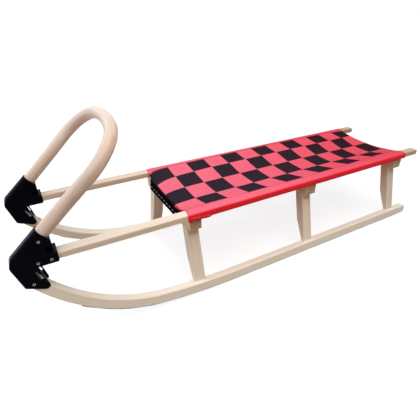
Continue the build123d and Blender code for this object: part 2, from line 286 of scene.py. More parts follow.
# The recess, in head radii: half an arm's width, its wall, its reach and the wall at its end
ARM_HALF, ARM_WALL, ARM_REACH, END_WALL = 0.28, 0.10, 0.72, 0.12
CROSS_DEEP = 2.2
ASKEW = (0.31, 0.47, 0.83)
SAME_POINT = 1e-6


def placed(centres, *moves):
    """One grid of points at every centre, moved along directions that are each centre's own."""
    points = centres[:, None, None]
    for reach, direction in moves:
        points = points + reach[None, ..., None] * direction[:, None, None]
    return points.reshape(-1, 3)


def ring_quads(rings, spokes, copies):
    """Quads between neighbouring rings of points, for every copy of the grid."""
    ring, spoke = np.meshgrid(np.arange(rings - 1), np.arange(spokes), indexing="ij")
    after = (spoke + 1) % spokes
    corners = ((ring, spoke), (ring + 1, spoke), (ring + 1, after), (ring, after))
    quads = np.stack([at * spokes + turn for at, turn in corners], axis=-1).reshape(-1, 4)
    step = np.arange(copies)[:, None, None] * rings * spokes
    return (quads[None] + step).reshape(-1, 4)


def cross_heads(centres, outward, radius, rise):
    """Screw heads as rings and spokes: a low dome, its height falling with the square of the
    radius, less a cross whose arms are a quarter of the head wide and two thirds of it long."""
    turns = np.arange(HEAD_SPOKES) * 2 * np.pi / HEAD_SPOKES
    r, turn = np.meshgrid(np.linspace(0, 1, HEAD_RINGS), turns, indexing="ij")
    x, y = r * np.cos(turn), r * np.sin(turn)
    arm = np.clip((ARM_HALF - np.minimum(abs(x), abs(y))) / ARM_WALL, 0, 1)
    cut = arm * np.clip((ARM_REACH - r) / END_WALL, 0, 1)
    height = rise * (1 - r**2) - CROSS_DEEP * rise * cut
    side_on = np.cross(outward, ASKEW)
    side_on /= np.linalg.norm(side_on, axis=1, keepdims=True)
    side_up = np.cross(outward, side_on)
    points = placed(centres, (radius * x, side_on), (radius * y, side_up), (height, outward))
    return points, ring_quads(HEAD_RINGS, HEAD_SPOKES, len(centres))


def as_one(first, second):
    """Two sets of points and faces as one, the second's faces renumbered."""
    points = np.concatenate([first[0], second[0]])
    return points, np.concatenate([first[1], second[1] + len(first[0])])


def add_piece(name, points, faces, material, merge=0.0):
    """Mesh piece at the origin, smooth, riding on the sled, with points that coincide merged."""
    mesh = bpy.data.meshes.new(name)
    mesh.from_pydata(points.tolist(), [], faces.tolist())
    if merge:
        work = bmesh.new()
        work.from_mesh(mesh)
        bmesh.ops.remove_doubles(work, verts=work.verts, dist=merge)
        work.to_mesh(mesh)
        work.free()
    mesh.polygons.foreach_set("use_smooth", np.ones(len(mesh.polygons), bool))
    mesh.materials.append(material)
    piece = bpy.data.objects.new(name, mesh)
    bpy.context.collection.objects.link(piece)
    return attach(piece, "root")


ZINC_BRIGHT, ZINC_DULL = srgb(186, 182, 170), srgb(140, 136, 124)
MOTTLE_SCALE = (700, 700, 700)
zinc, tree, shader = new_material("zinc_plated_screw")
mottle = stretched_noise(tree, object_place(tree), MOTTLE_SCALE, 3.0)
fill(tree, shader, {
    "Base Color": blend(tree, mottle, ZINC_BRIGHT, ZINC_DULL),
    "Roughness": scaled(tree, mottle, 0.3, 0.25),
    "Metallic": 0.6,
})


def under_strip(x):
    """Height and slope of the strip's lower face in the runner's plane: flat, then the slow arc,
    then the nose arc, each a circle about its centre above."""
    slow = np.arcsin(np.clip((x - CURVE_START) / SLOW_R, 0, 1))
    nose = np.arcsin(np.clip((x - NOSE_X) / NOSE_R, 0, 1))
    on_nose = x > NOSE_FROM
    slope = np.where(on_nose, nose, slow)
    lift = np.where(on_nose, NOSE_Z - NOSE_R * np.cos(nose), SLOW_R * (1 - np.cos(slow)))
    return lift - STRIP_T / np.cos(slope), slope


lift, slope = under_strip(STRIP_SCREW_X)
heads = []
for hand, side in SIDES:
    lean_sin, lean_cos = math.sin(side * RUNNER_LEAN), math.cos(RUNNER_LEAN)
    screw_y, screw_z = side * RUNNER_Y - lift * lean_sin, RUNNER_Z + lift * lean_cos
    centres = np.stack([STRIP_SCREW_X, screw_y, screw_z], axis=1)
    down = np.stack([np.sin(slope), np.cos(slope) * lean_sin, -np.cos(slope) * lean_cos], axis=1)
    heads.append(cross_heads(centres, down, STRIP_HEAD_R, STRIP_HEAD_RISE))
strip_screws = add_piece("strip_screws", *as_one(*heads), zinc, merge=SAME_POINT)

# Legs and crossbars: straight beech, planed and lacquered. Each leg is tenoned into its
# crossbar and its runner, and leans out with its grain along its own length.
LEG_SPLAY = math.radians(15.1)
TRESTLE_X = {"front": 0.222, "middle": -0.148, "rear": -0.530}
# The crossbars are browner than the legs: partly their wood, and partly painted shade under the seat.
BAR_TINTS = srgb(244, 224, 202), srgb(218, 190, 162)
# Where the pith lay, for each trestle: before its crossbar and above the floor, and beside its legs
BAR_PITH_X, BAR_PITH_Z = (0.05, 0.02, -0.01), (0.135, 0.155, 0.175)
LEG_PITH_X, LEG_PITH_Y, LEG_TOP = (0.035, 0.047, 0.059), 0.06, 0.17


def bar_grain(order, pith, turn=(0, 0, 0)):
    """Grain of a straight bar: the order names the two axes across it and the one along it."""

    def grain_of(tree):
        axes = dict(zip("XYZ", own_place(tree, pith, turn)))
        return joined(tree, *(axes[letter] for letter in order))

    return grain_of


for number, (name, bar_x) in enumerate(TRESTLE_X.items()):
    pith = (bar_x + BAR_PITH_X[number], 0, BAR_PITH_Z[number])
    look = lacquered_wood(f"beech_crossbar_{name}", bar_grain("XZY", pith), BAR_TINTS, sawn_ends(1))
    dress(f"crossbar_{name}", look)
    for hand, side in SIDES:
        pith = (bar_x + side * LEG_PITH_X[number], side * LEG_PITH_Y, LEG_TOP)
        leg_grain = bar_grain("XYZ", pith, (side * LEG_SPLAY, 0, 0))
        dress(f"leg_{name}_{hand}", lacquered_wood(f"beech_leg_{name}_{hand}", leg_grain))

# Seat rails: long flat beech bars with rounded edges, let into the crossbars' ends
# and pushed into the brackets at the front.
RAIL_TINTS = {
    "left": (srgb(248, 236, 224), srgb(226, 204, 182)),
    "right": (srgb(241, 223, 207), srgb(208, 181, 156)),
}
RAIL_PITH_Y, RAIL_PITH_Z = 0.19, {"left": 0.265, "right": 0.18}
# The rails' rear ends, out of the sleeves, are darkened with painted shade.
BARE_FROM, BARE_FULL = -0.52, -0.56


def painted_rear_shade(tree):
    """Mask of a rail's rear end, which stands out of the sleeve and is browner with painted shade."""
    return ramp(tree, split(tree, object_place(tree))[0], BARE_FROM, BARE_FULL)


for hand, side in SIDES:
    rail_grain = bar_grain("YZX", (0, side * RAIL_PITH_Y, RAIL_PITH_Z[hand]))
    dress(f"seat_rail_{hand}", lacquered_wood(f"beech_rail_{hand}", rail_grain, RAIL_TINTS[hand], painted_rear_shade))

# Bow: a round rod bent to a hoop, a little pinker than the rest, stuck in both brackets.
# Its grain follows the bend.
BOW_TINTS = srgb(242, 227, 217), srgb(214, 189, 174)
BOW_FOOT, BOW_LEAN = (0.545, 0, 0.2704), math.radians(47.6)
SHOULDER_Y, SHOULDER_UP = 0.0444, 0.1468
BOW_PITH_OUT = 0.025


def bow_grain(tree):
    """Grain along the hoop: its distance from the shoulder's centre, where only what lies
    beyond that centre counts, is the same all along a leg, a shoulder or the top."""
    out, y, up = own_place(tree, BOW_FOOT, (0, -BOW_LEAN, 0))
    beside = calc(tree, "SUBTRACT", calc(tree, "ABSOLUTE", y), SHOULDER_Y)
    above = calc(tree, "SUBTRACT", up, SHOULDER_UP)
    reach = hypot(tree, calc(tree, "MAXIMUM", beside, 0), calc(tree, "MAXIMUM", above, 0))
    return joined(tree, calc(tree, "ADD", out, BOW_PITH_OUT), reach, calc(tree, "SUBTRACT", y, up))


dress("bow", lacquered_wood("bow_wood", bow_grain, BOW_TINTS))

# Corner brackets: black moulded plastic with a fine spark finish, rubbed smoother in places.
# Each holds a runner's nose, a rail's end and a foot of the bow, with screws from outside.
BLACK_PLASTIC, RUBBED_PLASTIC = srgb(3, 3, 3), srgb(7, 7, 8)
SPARK_SCALE, RUBBED_SCALE = (1500, 1500, 1500), (45, 45, 45)
bracket_plastic, tree, shader = new_material("bracket_plastic")
place = object_place(tree)
spark = stretched_noise(tree, place, SPARK_SCALE)
rubbed = stretched_noise(tree, place, RUBBED_SCALE, 3.0)
fill(tree, shader, {
    "Base Color": blend(tree, rubbed, BLACK_PLASTIC, RUBBED_PLASTIC),
    "Roughness": scaled(tree, rubbed, 0.2, 0.22),
    "Normal": bump(tree, spark, 0.35, 0.0002),
    "Specular IOR Level": 0.03,
    "Specular Tint": srgb(190, 200, 255),
    "Sheen Weight": 0.4,
    "Sheen Roughness": 0.3,
    "Sheen Tint": srgb(135, 145, 255),
})

BRACKET_Y, BRACKET_T, BRACKET_LEAN, RAIL_TOP = 0.1323, 0.035, math.radians(1.5), 0.228
# X and Z of each screw's head on the outer plate
BRACKET_SCREWS = np.array([[0.5508, 0.2650], [0.5618, 0.2194], [0.5376, 0.2200], [0.5799, 0.1752]])
BRACKET_HEAD_R, BRACKET_HEAD_RISE = 0.0028, 0.0006
screw_x, screw_z = BRACKET_SCREWS.T
plate_y = BRACKET_Y + BRACKET_T / 2 / math.cos(BRACKET_LEAN)
outer_y = plate_y - (screw_z - RAIL_TOP) * math.tan(BRACKET_LEAN)
heads = []
for hand, side in SIDES:
    dress(f"bracket_{hand}", bracket_plastic)
    centres = np.stack([screw_x, side * outer_y, screw_z], axis=1)
    facing = (0, side * math.cos(BRACKET_LEAN), math.sin(BRACKET_LEAN))
    outward = np.tile(facing, (len(centres), 1))
    heads.append(cross_heads(centres, outward, BRACKET_HEAD_R, BRACKET_HEAD_RISE))
bracket_screws = add_piece("bracket_screws", *as_one(*heads), zinc, merge=SAME_POINT)

# Seat: one cloth of red and black checks, slung between the rails over the crossbars.
# Its long sides are turned round the rails and sewn up as sleeves, cut out at the crossbars,
# and its front hangs over the front crossbar as a black band with a sewn hem.
CLOTH_T = 0.0012
RAIL_BOTTOM, RAIL_OUTER, RAIL_INNER, RAIL_ROUND = 0.2126, 0.1475, 0.1219, 0.0025
CLEAR = 0.0003 + CLOTH_T / 2
CLOTH_TOP = RAIL_TOP + CLEAR
SHEET_EDGE = RAIL_INNER + RAIL_ROUND
SLEEVE_ROUND, UNDER_ROUND, SLEEVE_SLACK, SLEEVE_TUCK = 0.0055, 0.0024, 0.0008, 0.0016
REAR_X, FRONT_X = -0.5520, 0.2405
FLAP_REAR, FLAP_LOW = 0.183, 0.2072
FOLD_X, FOLD_R, BAND_LOW = 0.2345, 0.0080, 0.183
BAND_HALF_TOP, BAND_HALF_LOW = 0.1005, 0.1070
# The slung sheet sags more to the rear, at the lip before the fold and at the tail past the last bar.
SAG, REAR_SAG, LIP_SAG, TAIL_SAG = 0.0100, 0.0028, 0.0028, 0.0090
REAR_FROM, REAR_FULL, LIP_FROM, TAIL_FROM = -0.20, -0.46, 0.150, -0.5460
SLING_POWER, LIP_POWER, TAIL_POWER = 2.0, 4.0, 2.6


def smooth(value, low, high):
    """Goes from 0 at low to 1 at high, level at both ends."""
    t = np.clip((value - low) / (high - low), 0, 1)
    return t * t * (3 - 2 * t)


# Stations along the sled, closer at the rear hem, with a close pair at each edge of a cut-out
# and at the flap.
BAR_HALF, CUTOUT_PAST, EDGE_PAIR = 0.016, 0.003, 0.0004
STATIONS, HEM_STATIONS, HEM_REACH = 180, 12, 0.02
cuts = [(x - BAR_HALF - CUTOUT_PAST, x + BAR_HALF + CUTOUT_PAST) for x in TRESTLE_X.values()]
cuts[0] = (FLAP_REAR, math.inf)
cut_edges = np.array([edge for cut in cuts for edge in cut if edge < FRONT_X])
even = np.linspace(REAR_X, FRONT_X, STATIONS)
close = np.linspace(REAR_X, REAR_X + HEM_REACH, HEM_STATIONS)
stations = np.unique(np.concatenate([even, close, [FOLD_X], cut_edges - EDGE_PAIR, cut_edges + EDGE_PAIR]))


def in_cuts(x):
    """Where the sleeves are open."""
    return np.any([(x > low) & (x < high) for low, high in cuts], axis=0)


# Half the cloth's path across, from the middle of the sheet, as part and number of steps.
PATH_STEPS = (28, 5, 5, 6, 4, 5, 4, 4)
SHEET, TOP, SHOULDER, SIDE, HEEL, UNDER, TOE, INNER = range(8)
part = np.concatenate([np.full(count, i) for i, count in enumerate(PATH_STEPS)] + [[INNER]])
share = np.concatenate([np.arange(count) / count for count in PATH_STEPS] + [[1.0]])


def sheet_height(x, share):
    """Height of the slung sheet: its drop is one less a power of the share of the way out to the
    rail, and is more and flatter at the front crossbar and at the rear hem."""
    lip = np.clip((x - LIP_FROM) / (FOLD_X - LIP_FROM), 0, 1) ** 2
    tail = smooth(x, TAIL_FROM, REAR_X)
    sag = SAG + REAR_SAG * smooth(x, REAR_FROM, REAR_FULL) + LIP_SAG * lip + TAIL_SAG * tail
    return CLOTH_TOP - sag * (1 - share ** (SLING_POWER + LIP_POWER * lip + TAIL_POWER * tail))


def half_path(x):
    """Sideways place and height of half the cloth at stations x: the slung sheet, then straight
    runs and quarter circles round the rail, rounder above it than below."""
    skin, low_skin = SLEEVE_ROUND, UNDER_ROUND
    outer, inner = RAIL_OUTER + CLEAR, RAIL_INNER - CLEAR
    upper_c, under = RAIL_TOP + CLEAR - skin, RAIL_BOTTOM - CLEAR - SLEEVE_SLACK
    outer_c, inner_c, lower_c = outer - low_skin, inner + low_skin, under + low_skin
    side_end = np.where(x > FLAP_REAR, FLAP_LOW, under)
    side_end = np.where(in_cuts(x), side_end, lower_c)
    quarter = share * np.pi / 2
    y_runs = {
        SHEET: share * SHEET_EDGE,
        TOP: SHEET_EDGE + share * (outer - skin - SHEET_EDGE),
        SHOULDER: outer - skin + skin * np.sin(quarter),
        SIDE: outer + 0 * share,
        HEEL: outer_c + low_skin * np.cos(quarter),
        UNDER: outer_c + share * (inner_c - outer_c),
        TOE: inner_c - low_skin * np.sin(quarter),
        INNER: inner + 0 * share,
    }
    z_runs = {
        SHEET: sheet_height(x, share),
        TOP: CLOTH_TOP + 0 * share,
        SHOULDER: upper_c + skin * np.cos(quarter),
        SIDE: upper_c + share * (side_end - upper_c),
        HEEL: lower_c - low_skin * np.sin(quarter),
        UNDER: under + 0 * share,
        TOE: lower_c - low_skin * np.cos(quarter),
        INNER: lower_c + share * (RAIL_TOP - SLEEVE_TUCK - lower_c),
    }
    shape = np.broadcast_shapes(x.shape, share.shape)
    on_part = [np.broadcast_to(part == i, shape) for i in y_runs]
    y_of_part = [np.broadcast_to(y_run, shape) for y_run in y_runs.values()]
    z_of_part = [np.broadcast_to(z_run, shape) for z_run in z_runs.values()]
    return np.select(on_part, y_of_part), np.select(on_part, z_of_part)


half_y, half_z = half_path(stations[:, None])
# The right half comes first, from its inner side to the middle, and the left half follows.
y = np.concatenate([-half_y[:, :0:-1], half_y], axis=1)
z = np.concatenate([half_z[:, :0:-1], half_z], axis=1)
strip_part = np.concatenate([part[:0:-1], part])
x = stations[:, None] + 0 * y
# The way across the cloth, from its middle, at a station clear of the cut-outs
CLEAR_STATION = 60
run = np.cumsum(np.hypot(np.diff(y[CLEAR_STATION]), np.diff(z[CLEAR_STATION])))
run = np.concatenate([[0], run])
run = run - run[len(run) // 2]

# Where the rows of checks meet, from the right border to the left one, at places along the sled.
# The sleeves are sewn along both borders.
BORDERS = np.array(
    [
        (-0.5500, -0.1190, -0.0777, -0.0034, 0.0712, 0.1080),
        (-0.4500, -0.1265, -0.0777, -0.0034, 0.0712, 0.1090),
        (-0.3300, -0.1315, -0.0777, -0.0034, 0.0712, 0.1160),
        (-0.2100, -0.1335, -0.0777, -0.0034, 0.0712, 0.1200),
        (-0.1000, -0.1325, -0.0777, -0.0034, 0.0712, 0.1225),
        (0.0300, -0.1320, -0.0777, -0.0034, 0.0712, 0.1210),
        (0.0850, -0.1300, -0.0765, -0.0032, 0.0712, 0.1200),
        (0.1500, -0.1280, -0.0730, -0.0028, 0.0705, 0.1180),
        (0.1960, -0.1255, -0.0697, -0.0018, 0.0690, 0.1170),
        (0.2140, -0.1227, -0.0662, -0.0008, 0.0675, 0.1170),
        (0.2240, -0.1213, -0.0622, 0.0008, 0.0668, 0.1170),
        (0.2300, -0.1185, -0.0593, 0.0022, 0.0668, 0.1170),
        (0.2380, -0.1140, -0.0548, 0.0048, 0.0675, 0.1170),
    ]
)
BORDER_X, *BORDER_LINES = BORDERS.T
ROWS = len(BORDER_LINES) - 1

# Puckers along the sewn sleeves and waves in the flap's hem.
SEAM_PAST, SEAM_DEEP, SEAM_HALF, SEAM_PUCKER = 0.0014, 0.0007, 0.004, 0.0002
HANG_FROM, HANG_FULL = 0.003, 0.016
STAND_OFF, STAND_PUCKER, FLAP_WAVE, HEM_WAVE = 0.0003, 0.00025, 0.0006, 0.0004
FLAP_WAVE_PITCH, HEM_WAVE_PITCH = 0.021, 0.0165


def wave(x, pitch, start=0.0):
    """Sine wave along the sled."""
    return np.sin(x * 2 * np.pi / pitch + start)


def puckers(x):
    """Two sine waves along the sled, 19 and 31 mm long, the longer one lower."""
    return wave(x, 0.019) + 0.6 * wave(x, 0.031, 1.3)


def hanging(z):
    """How far down the rail's side the cloth is, from 0 near the top to 1."""
    return smooth(RAIL_TOP - z, HANG_FROM, HANG_FULL)


def stand_off(x, z):
    """How far the cloth stands off the rail's side: more the lower it hangs, with the puckers,
    and with a sine wave where it is a loose flap."""
    loose = (x > FLAP_REAR) * FLAP_WAVE * (1 + wave(x, FLAP_WAVE_PITCH))
    return hanging(z) * (STAND_OFF + STAND_PUCKER * puckers(x) + loose)


lead = y / RAIL_OUTER
on_rail = smooth(abs(y), SHEET_EDGE, RAIL_OUTER)
on_side = strip_part == SIDE
left_seam = np.interp(x, BORDER_X, BORDER_LINES[-1]) + SEAM_PAST
seam = np.exp(-(((y - left_seam) / SEAM_HALF) ** 2)) * (strip_part == SHEET)
hem_wave = on_side * hanging(z) * (x > FLAP_REAR) * HEM_WAVE * wave(x, HEM_WAVE_PITCH)
y = y + np.sign(y) * on_side * stand_off(x, z)
z = z - seam * (SEAM_DEEP + SEAM_PUCKER * puckers(x)) - hem_wave

# The ends aren't quite square: the left sleeve lies a little further forward at both.
FRONT_LEAD, FRONT_LEAD_FROM, REAR_LEAD, REAR_LEAD_FROM = 0.0033, 0.205, 0.0025, -0.530
front_lead = FRONT_LEAD * smooth(x, FRONT_LEAD_FROM, FRONT_X) * on_rail
rear_lead = REAR_LEAD * smooth(x, REAR_LEAD_FROM, REAR_X)
x = x + lead * (front_lead + rear_lead)

# Front band: from the fold on, the sheet's columns turn down over a quarter circle and hang
# straight, drawn in sideways to pass between the rails, with the hem standing a little out.
TURN_STEPS, HANG_STEPS = 8, 14
BAND_MARGIN, DRAWN_BY = 0.002, np.pi / 6
HEM_TOP, HEM_FULL, HEM_OUT = 0.1995, 0.1975, 0.0007
fold_row = np.flatnonzero(stations == FOLD_X)[0]
on_band = (abs(y[fold_row]) < BAND_HALF_TOP + BAND_MARGIN) & (strip_part == SHEET)
sheet_columns = np.flatnonzero(on_band)
edge_y, edge_z = y[fold_row, sheet_columns], z[fold_row, sheet_columns]
edge_half = edge_y.max()
angle = np.linspace(0, np.pi / 2, TURN_STEPS + 1)[1:, None]
fall = np.linspace(0, 1, HANG_STEPS + 1)[1:, None]
turn_z = edge_z - FOLD_R * (1 - np.cos(angle))
hang_z = turn_z[-1] + fall * (BAND_LOW - turn_z[-1])
turn_x = FOLD_X + FOLD_R * np.sin(angle) + 0 * edge_y
hang_x = FOLD_X + FOLD_R + HEM_OUT * smooth(hang_z, HEM_TOP, HEM_FULL)
turn_narrow = 1 + smooth(angle, 0, DRAWN_BY) * (BAND_HALF_TOP / edge_half - 1)
hang_narrow = (BAND_HALF_TOP + fall * (BAND_HALF_LOW - BAND_HALF_TOP)) / edge_half
band_x = np.concatenate([turn_x, hang_x])
band_y = edge_y * np.concatenate([turn_narrow, hang_narrow])
band_z = np.concatenate([turn_z, hang_z])
turn_run = FOLD_X + FOLD_R * angle + 0 * edge_y
band_run = np.concatenate([turn_run, turn_run[-1] + (turn_z[-1] - hang_z)]).ravel()


def quads_of(index):
    """Quads between neighbours in a grid of point numbers, facing up."""
    return np.stack([index[:-1, :-1], index[1:, :-1], index[1:, 1:], index[:-1, 1:]], axis=-1)


rows, columns = x.shape
grid = np.arange(rows * columns).reshape(rows, columns)
between = (stations[1:] + stations[:-1]) / 2
face_part = np.minimum(strip_part[1:], strip_part[:-1])
face_part[columns // 2 :] = strip_part[columns // 2 : -1]
closed = ~in_cuts(between)[:, None] | (face_part <= SIDE)
behind_fold = (between < FOLD_X)[:, None] | ~(on_band[1:] & on_band[:-1])
main_faces = quads_of(grid)[closed & behind_fold]
band_grid = rows * columns + np.arange(band_x.size).reshape(band_x.shape)
band_faces = quads_of(np.concatenate([grid[fold_row, sheet_columns][None], band_grid])).reshape(-1, 4)
main_points = np.stack([x, y, z], axis=-1).reshape(-1, 3)
band_points = np.stack([band_x, band_y, band_z], axis=-1).reshape(-1, 3)
points = np.concatenate([main_points, band_points])
used, faces = np.unique(np.concatenate([main_faces, band_faces]), return_inverse=True)
faces = faces.reshape(-1, 4)

# Checks: four rows across and columns along, as the cloth's own coordinates.
# Rows are counted from the right, and columns from the second seam of squares behind the front.
COLUMN_X, COLUMN_PITCH = 0.1200, 0.0609
# How far the columns are pulled forward at places across, at the front and at the rear.
# The first row is out of step with the next.
PULL_Y = (-0.145, -0.0787, -0.0777, -0.0034, 0.0712, 0.1187)
PULL_FRONT = (-0.004, -0.003, -0.004, 0.0, 0.004, 0.0)
PULL_REAR = (-0.002, -0.010, -0.016, 0.005, 0.017, -0.010)
PULL_FRONT_X, PULL_REAR_X = 0.18, -0.50
# The rear hem keeps the colours that reach it, the drop is all black and the sleeves' sides are red.
HEM_CHECKS, BAND_COLUMN, BAND_FROM, ROW_MARGIN, OFF_ROWS = -0.5440, 2, 0.0045, 0.02, 0.2
band_aside = (edge_y + 0 * band_x).ravel()
along = np.concatenate([x.ravel(), band_run])
aside = np.concatenate([y.ravel(), band_aside])
checked = np.maximum(along, HEM_CHECKS)
to_rear = np.clip((PULL_FRONT_X - checked) / (PULL_FRONT_X - PULL_REAR_X), 0, 1)
front_pull, rear_pull = np.interp(aside, PULL_Y, PULL_FRONT), np.interp(aside, PULL_Y, PULL_REAR)
pull = (1 - to_rear) * front_pull + to_rear * rear_pull
check_column = (checked - pull - COLUMN_X) / COLUMN_PITCH
on_drop = np.where(band_run > FOLD_X + BAND_FROM, BAND_COLUMN, -np.inf)
check_column[x.size :] = np.maximum(check_column[x.size :], on_drop)
row_place = np.where(strip_part < SIDE, y, np.sign(y) * OFF_ROWS).ravel()
row_place = np.concatenate([row_place, band_aside])
lines = [np.interp(checked, BORDER_X, line) for line in BORDER_LINES]
across = [(row_place - low) / (high - low) for low, high in zip(lines[:-1], lines[1:])]
check_row = sum(np.clip(share_of_row, 0, 1) for share_of_row in across)
check_row += np.minimum(across[0], 0) + np.maximum(across[-1] - 1, 0)
check_row[x.size :] = np.clip(check_row[x.size :], ROW_MARGIN, ROWS - ROW_MARGIN)
width_run = np.concatenate([(run + 0 * x).ravel(), (run[sheet_columns] + 0 * band_x).ravel()])

# Cloth finish: plain weave, dyed red and black. What faces up is paler and pinker: a painted highlight,
# strongest at the front and weaker to the rear. Each sewn border has a darker line of painted shade.
RED_DEEP, RED_LIT_REAR, RED_LIT_FRONT = srgb(255, 42, 56), srgb(255, 94, 113), srgb(251, 122, 148)
BLACK_DEEP, BLACK_LIT_REAR, BLACK_LIT_FRONT = srgb(20, 15, 21), srgb(53, 34, 42), srgb(50, 43, 54)
SEAM_SHADE, SEAM_SHADE_SHARE, SEAM_SHADE_FULL, SEAM_SHADE_END = srgb(196, 24, 42), 0.4, 0.01, 0.05
EDGE_ROW = 0.045
THREAD_PITCH, FRAY = 0.0009, 0.03
FRAY_SCALE, LIT_SCALE, SLUB_SCALE = (900, 900, 1), (14, 14, 1), (40, 1100, 1)
LIT_FROM, LIT_FULL, LIT_PATCHES = 0.45, 1.2, 0.3
check_cloth, tree, shader = new_material("seat_cloth")
weave_uv = put(tree, "ShaderNodeUVMap", uv_map="weave").outputs[0]
check_uv = put(tree, "ShaderNodeUVMap", uv_map="checks").outputs[0]
u, v, _ = split(tree, weave_uv)
column, row, _ = split(tree, check_uv)
frayed = scaled(tree, stretched_noise(tree, weave_uv, FRAY_SCALE), FRAY, -FRAY / 2)
column, row = calc(tree, "ADD", column, frayed), calc(tree, "ADD", row, frayed)
squares = calc(tree, "ADD", calc(tree, "FLOOR", column), calc(tree, "FLOOR", row))
odd = calc(tree, "FLOORED_MODULO", squares, 2)
past_fold = calc(tree, "GREATER_THAN", column, BAND_COLUMN)
in_rows = calc(tree, "MULTIPLY", calc(tree, "GREATER_THAN", row, 0), calc(tree, "LESS_THAN", row, ROWS))
is_black = calc(tree, "MULTIPLY", in_rows, calc(tree, "MAXIMUM", odd, past_fold))
warp = calc(tree, "SINE", calc(tree, "MULTIPLY", u, 2 * math.pi / THREAD_PITCH))
weft = calc(tree, "SINE", calc(tree, "MULTIPLY", v, 2 * math.pi / THREAD_PITCH))
weave = calc(tree, "MULTIPLY", warp, weft)
patch = stretched_noise(tree, weave_uv, LIT_SCALE, 3.0)
slub = stretched_noise(tree, weave_uv, SLUB_SCALE)
upward = split(tree, put(tree, "ShaderNodeNewGeometry").outputs["Normal"])[2]
# Painted highlight: what faces up goes paler and pinker, in patches, and most at the front.
lit_up = ramp(tree, scaled(tree, patch, LIT_PATCHES, upward), LIT_FROM, LIT_FULL)
forward = ramp(tree, u, REAR_X, FRONT_X)
red = blend(tree, lit_up, RED_DEEP, blend(tree, forward, RED_LIT_REAR, RED_LIT_FRONT))
black = blend(tree, lit_up, BLACK_DEEP, blend(tree, forward, BLACK_LIT_REAR, BLACK_LIT_FRONT))
dye_and_painted_light = blend(tree, is_black, red, black)
# Painted shade: a darker line along each sewn border.
from_middle = calc(tree, "ABSOLUTE", calc(tree, "SUBTRACT", row, ROWS / 2))
from_seam = calc(tree, "ABSOLUTE", calc(tree, "SUBTRACT", from_middle, ROWS / 2 + SEAM_PAST / EDGE_ROW))
in_seam_shade = calc(tree, "SUBTRACT", 1, ramp(tree, from_seam, SEAM_SHADE_FULL, SEAM_SHADE_END))
dye_and_painted_light = blend(tree, calc(tree, "MULTIPLY", in_seam_shade, SEAM_SHADE_SHARE), dye_and_painted_light, SEAM_SHADE)
shaded = scaled(tree, slub, 0.16, scaled(tree, weave, 0.05, 0.90))
fill(tree, shader, {
    "Base Color": blend(tree, 1.0, dye_and_painted_light, joined(tree, shaded, shaded, shaded), "MULTIPLY"),
    "Roughness": scaled(tree, slub, 0.2, 0.7),
    "Normal": bump(tree, calc(tree, "ADD", weave, slub), 0.3, 0.0002),
    "Specular IOR Level": 0.0,
    "Sheen Weight": calc(tree, "SUBTRACT", 1, is_black),
    "Sheen Roughness": 0.45,
    "Sheen Tint": srgb(255, 90, 110),
})

seat = add_piece("seat_cloth", points[used], faces, check_cloth)
corner_point = np.empty(len(seat.data.loops), np.int32)
seat.data.loops.foreach_get("vertex_index", corner_point)
corner_point = used[corner_point]
for label, first, second in (("weave", along, width_run), ("checks", check_column, check_row)):
    layer = seat.data.uv_layers.new(name=label)
    corners = np.stack([first, second], axis=-1)[corner_point]
    layer.data.foreach_set("uv", corners.astype(np.float32).ravel())
wall = seat.modifiers.new("cloth_thickness", "SOLIDIFY")
wall.thickness = CLOTH_T
wall.offset = 0.0
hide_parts("seat_fabric")

# Stitches: thick white thread in the band's hem, pink in the flaps' hems and red along the sleeves.
# Each is a short round-ended length of thread that lies on the cloth.
THREAD_RINGS, THREAD_SPOKES, THREAD_END = 9, 8, 0.999
THREAD_TWIST = 0.0011


def stitches(centres, lengthwise, outward, length, radius):
    """Threads as rings along a length: the ring's radius is the thread's, times the square root
    of one less the fourth power of the place along it, so that both ends are round."""
    turns = np.arange(THREAD_SPOKES) * 2 * np.pi / THREAD_SPOKES
    t, turn = np.meshgrid(np.linspace(-1, 1, THREAD_RINGS), turns, indexing="ij")
    swell = radius * (1 - np.minimum(abs(t), THREAD_END) ** 4) ** 0.5
    lengthwise, outward = (np.tile(way, (len(centres), 1)) for way in (lengthwise, outward))
    beside = np.cross(lengthwise, outward)
    sideways, upward = (swell * np.cos(turn), beside), (swell * np.sin(turn), outward)
    points = placed(centres, (t * length / 2, lengthwise), sideways, upward)
    return points, ring_quads(THREAD_RINGS, THREAD_SPOKES, len(centres))[:, [0, 3, 2, 1]]


def thread(name, colour, dim):
    """Twisted thread: light and dark bands that wind round it."""
    material, tree, shader = new_material(name)
    px, py, pz = split(tree, object_place(tree))
    lay = calc(tree, "ADD", calc(tree, "ADD", px, py), pz)
    twist = calc(tree, "SINE", calc(tree, "MULTIPLY", lay, 2 * math.pi / THREAD_TWIST))
    mix = ramp(tree, twist, -1, 1)
    fill(tree, shader, {
        "Base Color": blend(tree, mix, dim, colour),
        "Roughness": scaled(tree, mix, 0.2, 0.6),
        "Normal": bump(tree, twist, 0.4, 0.0002),
    })
    return material


BAND_STITCHES, BAND_STITCH_HALF, BAND_STITCH_Z = 11, 0.0915, 0.1957
BAND_STITCH_LONG, BAND_STITCH_R = 0.0100, 0.0006
stitch_y = np.linspace(-BAND_STITCH_HALF, BAND_STITCH_HALF, BAND_STITCHES)
stitch_x = np.full(BAND_STITCHES, FOLD_X + FOLD_R + HEM_OUT + CLOTH_T / 2)
centres = np.stack([stitch_x, stitch_y, np.full(BAND_STITCHES, BAND_STITCH_Z)], axis=1)
threads = stitches(centres, (0.0, 1.0, 0.0), (1.0, 0.0, 0.0), BAND_STITCH_LONG, BAND_STITCH_R)
white_thread = thread("white_thread", srgb(240, 238, 234), srgb(200, 198, 194))
band_stitches = add_piece("band_stitches", *threads, white_thread)

